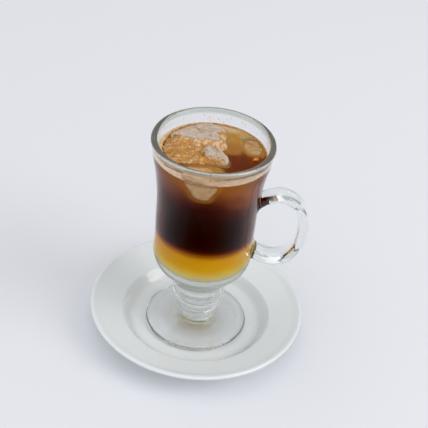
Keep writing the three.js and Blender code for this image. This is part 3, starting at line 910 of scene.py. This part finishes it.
def froth_sheet(s, height, room, material):
    """A thin closed sheet of froth that lies over the drink and the ice, with the relief of its bubbles."""
    step, thick = s.spacing / MM, s.thickness / MM
    columns = np.arange(-33, 13, step)
    rows = np.arange(-17, 23, step)
    tops, pits, creams, index = [], [], [], {}
    for i, x in enumerate(columns):
        for j, y in enumerate(rows):
            depth = min(froth_depth(x, y), 3 * (room - 0.3 - math.hypot(x, y)))
            if depth <= 0:
                continue
            cell = noise.voronoi(Vector((x, y, 0)) / FINE_BUBBLE)[0][0]
            large = noise.voronoi(Vector((x, y, 5)) / OPEN_BUBBLE)[0][0]
            dome = FINE_BUBBLE_RISE * max(0, 0.5 - cell)
            open_bubble = max(0, 1 - large / OPEN_BUBBLE_CORE)
            rise = thick * (1 - math.exp(-depth / SHEET_EDGE)) + dome - OPEN_BUBBLE_DEPTH * open_bubble
            index[i, j] = len(tops)
            tops.append((x, y, height(x, y) + rise))
            pits.append(min(1, 2 * open_bubble * (0.5 + max(0, -x / 24)) + max(0, cell - 0.7)))
            own = noise.cell(Vector((x, y, 2)) / FINE_BUBBLE)
            grain = 0.7 * noise.noise(Vector((x, y, 1)) / 3) + 0.45 * own - 0.1
            creams.append(grain + min(0.3, max(0, (y - 2) / 12)) + min(0.1, max(0, (x + 14) / 18)))
    count = len(tops)
    under = [(x, y, z - thick - 0.6) for x, y, z in tops]
    cells = {(i, j) for i, j in index if {(i + 1, j), (i + 1, j + 1), (i, j + 1)} <= index.keys()}
    # Cells that touch only at a corner would leave an edge that four faces share.
    for i, j in sorted(cells):
        for side in (-1, 1):
            if {(i + 1, j + side)} <= cells and not {(i + 1, j), (i, j + side)} & cells:
                cells.discard((i, j))
    faces, edges = [], {}
    for i, j in sorted(cells):
        corners = [index[key] for key in ((i, j), (i + 1, j), (i + 1, j + 1), (i, j + 1))]
        faces.append(tuple(corners))
        faces.append(tuple(count + c for c in reversed(corners)))
        for b, c in zip(corners, corners[1:] + corners[:1]):
            edges[b, c] = True
    for b, c in edges:
        if (c, b) not in edges:
            faces.append((c, b, count + b, count + c))
    piece = new_piece("froth_sheet", tops + under, faces, material)
    for name, values in (("pit", pits * 2), ("cream", [min(0.65, max(0, c)) for c in creams] * 2)):
        mark(piece, name, values)
    form = bmesh.new()
    form.from_mesh(piece.data)
    bmesh.ops.delete(form, geom=[v for v in form.verts if not v.link_faces], context="VERTS")
    form.to_mesh(piece.data)
    form.free()
    return piece


# Half the width of the ring of froth, by the angle round the axis in degrees.
RING_WIDTHS = (
    (0, 0.4), (25, 0.5), (45, 0.6), (70, 0.6), (90, 0.5), (135, 0.9), (180, 1.5), (215, 2), (238, 4),
    (258, 2.4), (275, 3), (298, 4.6), (320, 4), (340, 1.2), (360, 0.4),
)


def froth_ring(s, inside, level, climb, material):
    """The uneven rim of pale froth where the drink meets the wall."""
    around, section = 480, 30
    points, creams = [], []
    for i in range(around):
        edge = outward(2 * math.pi * i / around)
        left = max(0, -edge.x) ** 2
        uneven = noise.noise(edge * 5)
        wide = np.interp(360 * i / around, *zip(*RING_WIDTHS)) * (1 + 0.3 * uneven)
        # Scallops of single bubbles along the free edge.
        wide += min(0.5, 0.4 * wide) * noise.noise(edge * 17)
        tall = (0.6 + 0.7 * left) * (1 + 0.35 * uneven) + 0.35 * climb
        for j in range(section):
            b = 2 * math.pi * j / section
            z = level + 0.2 + tall * math.sin(b)
            out = inside_radius(inside, z) + 0.1 - wide * (1 + math.cos(b))
            place = Vector((out * edge.x, out * edge.y, 0))
            # Bubbles about 1 mm across roughen the top, but not where it meets the wall.
            bubble = noise.noise(place / 0.8) * (1 + math.cos(b)) / 2
            out += 0.12 * bubble
            points.append((out * edge.x, out * edge.y, z + 0.35 * bubble * max(0, math.sin(b))))
            creams.append(0.4 + 0.25 * left - 0.3 * math.cos(b) + 0.4 * noise.noise(place / 1.6))
    piece = new_piece("froth_ring", points, quads(around, section, closed=True), material)
    mark(piece, "cream", creams)
    return piece


def drops(name, places, material, segments=12):
    """Many small round drops as one mesh, each with its middle, radius, squash and the way it faces."""
    points, faces = [], []
    rings = segments // 2
    for middle, radius, squash, facing in places:
        turn = Vector(facing).to_track_quat("Z", "Y").to_matrix()
        first = len(points)
        for i in range(rings + 1):
            b = math.pi * i / rings
            for j in range(segments if 0 < i < rings else 1):
                a = 2 * math.pi * j / segments
                local = Vector((math.sin(b) * math.cos(a), math.sin(b) * math.sin(a), math.cos(b) * squash))
                points.append(tuple(Vector(middle) + turn @ (local * radius)))
        last = len(points) - 1
        for j in range(segments):
            k = (j + 1) % segments
            faces.append((first, first + 1 + j, first + 1 + k))
            faces.append((last, last - segments + k, last - segments + j))
            for i in range(rings - 2):
                a, b = first + 1 + i * segments, first + 1 + (i + 1) * segments
                faces.append((a + j, b + j, b + k, a + k))
    return new_piece(name, points, faces, material)


def bubbles(s, height, draws):
    """Single bubbles that stand on the froth and at its edges."""
    places = []
    while len(places) < s.bubbles:
        x, y = draws.uniform(-31, 12), draws.uniform(-16, 22)
        if -0.4 < froth_depth(x, y) < 9 and math.hypot(x, y) < 31.5:
            small = draws.random() < SMALL_BUBBLES_SHARE
            radius = draws.uniform(*(SMALL_BUBBLES if small else LARGE_BUBBLES))
            z = height(x, y) + s.thickness / MM * 0.8
            places.append(((x, y, z), radius, draws.uniform(0.7, 0.9), (0, 0, 1)))
    return drops("froth_bubbles", places, material_of(liquid_film, s.foam, name="bubble_skin"))


def droplets(s, inside, draws):
    """Drops that cling to the inside of the glass above the drink, most of them at the back."""
    places = []
    for _ in range(s.droplets):
        edge, z = outward(math.radians(draws.gauss(62, 34))), draws.uniform(*DROP_HEIGHTS)
        radius = draws.uniform(*DROP_RADII)
        middle = edge * (inside_radius(inside, z) + 0.05) + Vector((0, 0, z))
        places.append((middle, radius, 0.45, tuple(-edge)))
    return drops("wall_droplets", places, material_of(liquid_film, "#f3e2c0", name="drink_droplet"), 16)


def drip(inside, material):
    """The thin run of coffee down the inside of the wall at the front."""
    places = []
    for i in range(DRIP_DROPS):
        z = DRIP_LOW + DRIP_STEP * i
        edge = outward(math.radians(-89 + 0.15 * math.sin(0.9 * i)))
        middle = edge * inside_radius(inside, z) + Vector((0, 0, z))
        places.append((middle, 0.5 - 0.02 * i, 0.5, tuple(-edge)))
    return drops("wall_drip", places, material)


# Pieces


def settle(piece, slot, *nodes):
    """Makes a finished piece part of the object and hides the CAD nodes that it stands for; the finish that
    it is given is not used.
    """
    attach(piece, "root")
    if nodes:
        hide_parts(*nodes)
    return piece


class DRINK_OT_saucer(Operator):
    """Adds the white saucer"""

    bl_idname = "drink.saucer"
    bl_label = "Saucer"

    def execute(self, context):
        s = context.scene.layered_drink.saucer
        points, faces = turned(saucer_outline(s), FINE_ROUND)
        material = material_of(porcelain_glazed, s)
        settle(new_piece("saucer_glazed", points, faces, material), "porcelain", "saucer")
        return {"FINISHED"}


class DRINK_OT_glass(Operator):
    """Adds the clear mug with its handle"""

    bl_idname = "drink.glass"
    bl_label = "Glass Mug"

    def execute(self, context):
        s = context.scene.layered_drink.glass
        material = material_of(soda_glass_pressed, s)
        mug = new_piece("mug_pressed", *turned(glass_outline(s), ROUND), material)
        strap = new_piece("strap", *handle_strap(s), material)
        joined(mug, strap)
        mug.data.shade_smooth()
        mug.data.set_sharp_from_angle(angle=math.radians(50))
        drink = context.scene.layered_drink.drink
        inside, contact = bowl_inside(s), (drink.drink_level + drink.meniscus) / MM
        mirrors = []
        for face in mug.data.polygons:
            x, y, z = face.center / MM
            deep = math.hypot(x, y) - inside_radius(inside, z)
            if z < contact and deep < WETTED_DEPTH:
                mirrors.append(WETTED_MIRROR)
            elif OUTER_LOW < z < contact + 1 and deep < s.wall / MM + OUTER_DEPTH:
                mirrors.append(WALL_MIRROR)
            else:
                mirrors.append(1)
        mark(mug, "mirror", mirrors, "FACE")
        heights = [vertex.co.z / MM for vertex in mug.data.vertices]
        mark(mug, "thick", np.interp(heights, THICK_HEIGHTS, THICK_SHARES))
        settle(mug, "clear_glass", "glass")
        return {"FINISHED"}


class DRINK_OT_juice(Operator):
    """Adds the layer of orange juice"""

    bl_idname = "drink.juice"
    bl_label = "Orange Juice"

    def execute(self, context):
        settings = context.scene.layered_drink
        s = settings.drink
        inside = bowl_inside(settings.glass)
        top, reach = s.layer_level / MM, s.reach / MM * 0.8
        wall = [(r + reach, z - reach) for r, z in inside[::-1] if 1 < r and z < top - 0.3]
        edge = inside_radius(inside, top) + reach
        surface = [(edge * share, top) for share in (1, 0.8, 0.6, 0.4, 0.2)]
        outline = [(0, inside[-1, 1] - reach), *wall, *surface, (0, top)]
        piece = new_piece("juice_cloudy", *turned(outline, ROUND), material_of(orange_juice_cloudy, s))
        piece.data.set_sharp_from_angle(angle=math.radians(50))
        settle(piece, "orange_juice", "orange_juice")
        return {"FINISHED"}


class DRINK_OT_brew(Operator):
    """Adds the layer of cold coffee, which climbs a little up the wall and the ice"""

    bl_idname = "drink.brew"
    bl_label = "Cold Brew"

    def execute(self, context):
        settings = context.scene.layered_drink
        s = settings.drink
        inside = bowl_inside(settings.glass)
        low, level, climb, reach = s.layer_level / MM - 0.1, s.drink_level / MM, s.meniscus / MM, s.reach / MM
        wall = [(r + reach, z) for r, z in inside[::-1] if low + 0.3 < z < level - 0.3]
        contact = inside_radius(inside, level + climb)
        edge = [(contact + reach, level + climb), (contact - 0.02, level + climb)]
        aside = (0.15, 0.35, 0.6, 0.9, 1.3, 1.8, 2.4, 3)
        film = [(contact - d, level + climb * math.exp(-d / FILM_BEND)) for d in aside]
        surface = [(r, level) for r in np.linspace(contact - 3.4, 0.4, 64)]
        base = inside_radius(inside, low) + reach
        outline = [(0, low), *[(base * share, low) for share in (0.25, 0.5, 0.75, 1)], *wall]
        points, faces = turned([*outline, *edge, *film, *surface, (0, level)], FINE_ROUND)
        shown = surface_tree(context.scene, "_melted")
        for i, (x, y, z) in enumerate(points):
            if z >= level - 0.01 and math.hypot(x, y) < contact - 0.5:
                away = shown.find_nearest(Vector((x, y, level)))[3]
                points[i][2] += ICE_FILM * climb * math.exp(-away / ICE_FILM_BEND)
        piece = new_piece("coffee_filtered", points, faces, material_of(cold_brew_filtered, s))
        piece.data.set_sharp_from_angle(angle=math.radians(60))
        still = []
        for face in piece.data.polygons:
            x, y, z = face.center / MM
            still.append(float(z > level - 0.05 and math.hypot(x, y) < contact))
        mark(piece, "still", still, "FACE")
        sunk = surface_tree(context.scene, "ice_sunk")
        melt = np.zeros(len(points))
        for tree, (most, start, spread) in ((shown, SHOWN_MELT), (sunk, SUNK_MELT)):
            away = np.array([tree.find_nearest(Vector(point))[3] for point in points])
            melt = np.maximum(melt, most * np.exp(-(np.maximum(away - start, 0) / spread) ** 2))
        mark(piece, "melt", melt)
        settle(piece, "cold_brew", "cold_brew")
        return {"FINISHED"}


class DRINK_OT_ice(Operator):
    """Adds the ice, both what stands out of the drink and what is sunk in it"""

    bl_idname = "drink.ice"
    bl_label = "Ice"

    def execute(self, context):
        s = context.scene.layered_drink.ice
        level = context.scene.layered_drink.drink.drink_level
        melting, steeped = (material_of(kind, s, level) for kind in (ice_melting, ice_steeped))
        inside = bowl_inside(context.scene.layered_drink.glass)
        for block in BLOCKS_SHOWN:
            melted = block._replace(name=block.name + "_melted")
            material = steeped if block.steeped else melting
            settle(block_of_ice(melted, s, material, inside), "ice", block.name)
        for block in BLOCKS_SUNK:
            settle(block_of_ice(block, s, steeped, inside), "ice")
        settle(block_of_ice(CHIP, s, material_of(orange_peel, s.chip), inside), "orange_juice")
        return {"FINISHED"}


class DRINK_OT_froth(Operator):
    """Adds the froth, its bubbles, and the drops inside the rim"""

    bl_idname = "drink.froth"
    bl_label = "Froth"

    def execute(self, context):
        settings = context.scene.layered_drink
        s, drink = settings.froth, settings.drink
        draws = random.Random(s.seed)
        inside, level = bowl_inside(settings.glass), drink.drink_level / MM
        ice = surface_tree(context.scene, "_melted")

        def height(x, y):
            """The top of the drink or of the ice at a place, with what leans against the ice beside it."""
            tops = [level]
            for aside, ahead in ((0, 0), (LEAN, 0), (-LEAN, 0), (0, LEAN), (0, -LEAN)):
                hit = ice.ray_cast(Vector((x + aside, y + ahead, 160)), Vector((0, 0, -1)))[0]
                if hit:
                    tops.append(hit.z - abs(aside + ahead))
            return max(tops)

        material = material_of(coffee_froth, s)
        settle(froth_sheet(s, height, inside_radius(inside, level), material), "cold_brew")
        settle(froth_ring(s, inside, level, drink.meniscus / MM, material), "cold_brew")
        settle(bubbles(s, height, draws), "cold_brew")
        settle(droplets(s, inside, draws), "cold_brew")
        settle(drip(inside, material_of(liquid_film, "#f4dcb8", name="drip_coffee")), "cold_brew")
        return {"FINISHED"}


class DRINK_OT_stage(Operator):
    """Adds the table, the soft lights and the camera"""

    bl_idname = "drink.stage"
    bl_label = "Stage"

    def execute(self, context):
        scene = context.scene
        s = scene.layered_drink.stage
        corners = [(x * TABLE_HALF, y * TABLE_HALF, 0) for x, y in ((-1, -1), (1, -1), (1, 1), (-1, 1))]
        new_piece("table", corners, [(0, 1, 2, 3)], material_of(table_laminate, s.floor))

        for name, power, size, where in (
            ("key", s.key_power, 1.3, (1.63, -0.6, 1.35)),
            ("overhead", OVERHEAD_SHARE * s.key_power, 2.4, (-0.2, 0.1, 1.9)),
        ):
            soft = bpy.data.lights.new(name, "AREA")
            soft.energy, soft.shape, soft.size = power, "SQUARE", size
            lamp = bpy.data.objects.new(name, soft)
            lamp.location = where
            lamp.rotation_euler = (Vector((0, 0, 0.07)) - lamp.location).to_track_quat("-Z", "Y").to_euler()
            scene.collection.objects.link(lamp)

        world = bpy.data.worlds.new("studio")
        world.use_nodes = True
        world.node_tree.nodes.clear()
        # The room is lighter in front of the glass and to its left than behind it.
        add = partial(add_node, world.node_tree)
        way = add("TexCoord").outputs["Generated"]
        towards = add("VectorMath", {0: way, 1: (-0.7, -0.7, 0)}, operation="DOT_PRODUCT")
        strength = add("MapRange", {
            "Value": towards, "From Min": -1.0,
            "To Min": 0.5 * s.sky_strength, "To Max": 1.25 * s.sky_strength,
        })
        sky = add("Background", {"Color": s.sky, "Strength": strength})
        add("OutputWorld", {"Surface": sky})
        scene.world = world

        camera = bpy.data.objects.new("camera", bpy.data.cameras.new("camera"))
        camera.data.lens, camera.data.sensor_width = s.lens, 36
        camera.location = [place * MM for place in CAMERA_PLACE]
        level = Euler((math.pi / 2 - s.camera_elevation, 0, 0)).to_matrix()
        camera.rotation_euler = (level @ Euler((0, 0, s.camera_roll)).to_matrix()).to_euler()
        scene.collection.objects.link(camera)
        scene.camera = camera

        scene.view_settings.view_transform = "Standard"
        scene.view_settings.use_curve_mapping = True
        scene.view_settings.curve_mapping.black_level = BLACK_LEVEL
        for kind in ("max_bounces", "transmission_bounces", "transparent_max_bounces"):
            setattr(scene.cycles, kind, 32)
        scene.cycles.diffuse_bounces = 6
        scene.cycles.glossy_bounces = 8
        scene.cycles.blur_glossy = 0.3
        scene.cycles.use_denoising = True
        return {"FINISHED"}


class DRINK_PT_panel(Panel):
    """Lists the pieces of the drink"""

    bl_label = "Layered Drink"
    bl_idname = "DRINK_PT_panel"
    bl_space_type = "VIEW_3D"
    bl_region_type = "UI"
    bl_category = "Drink"

    def draw(self, context):
        for operator in OPERATORS:
            self.layout.operator(operator.bl_idname)


OPERATORS = (
    DRINK_OT_saucer, DRINK_OT_glass, DRINK_OT_juice, DRINK_OT_ice, DRINK_OT_brew, DRINK_OT_froth,
    DRINK_OT_stage,
)
SETTINGS = (
    SaucerSettings, GlassSettings, DrinkSettings, IceSettings, FrothSettings, StageSettings, LayeredDrink,
)


def register():
    for kind in (*SETTINGS, *OPERATORS, DRINK_PT_panel):
        bpy.utils.register_class(kind)
    bpy.types.Scene.layered_drink = PointerProperty(type=LayeredDrink)


def unregister():
    del bpy.types.Scene.layered_drink
    for kind in reversed((*SETTINGS, *OPERATORS, DRINK_PT_panel)):
        bpy.utils.unregister_class(kind)


def main():
    register()
    bpy.ops.drink.saucer()
    bpy.ops.drink.glass()
    bpy.ops.drink.juice()
    bpy.ops.drink.ice()
    bpy.ops.drink.brew()
    bpy.ops.drink.froth()
    bpy.ops.drink.stage()


if __name__ == "__main__":
    main()
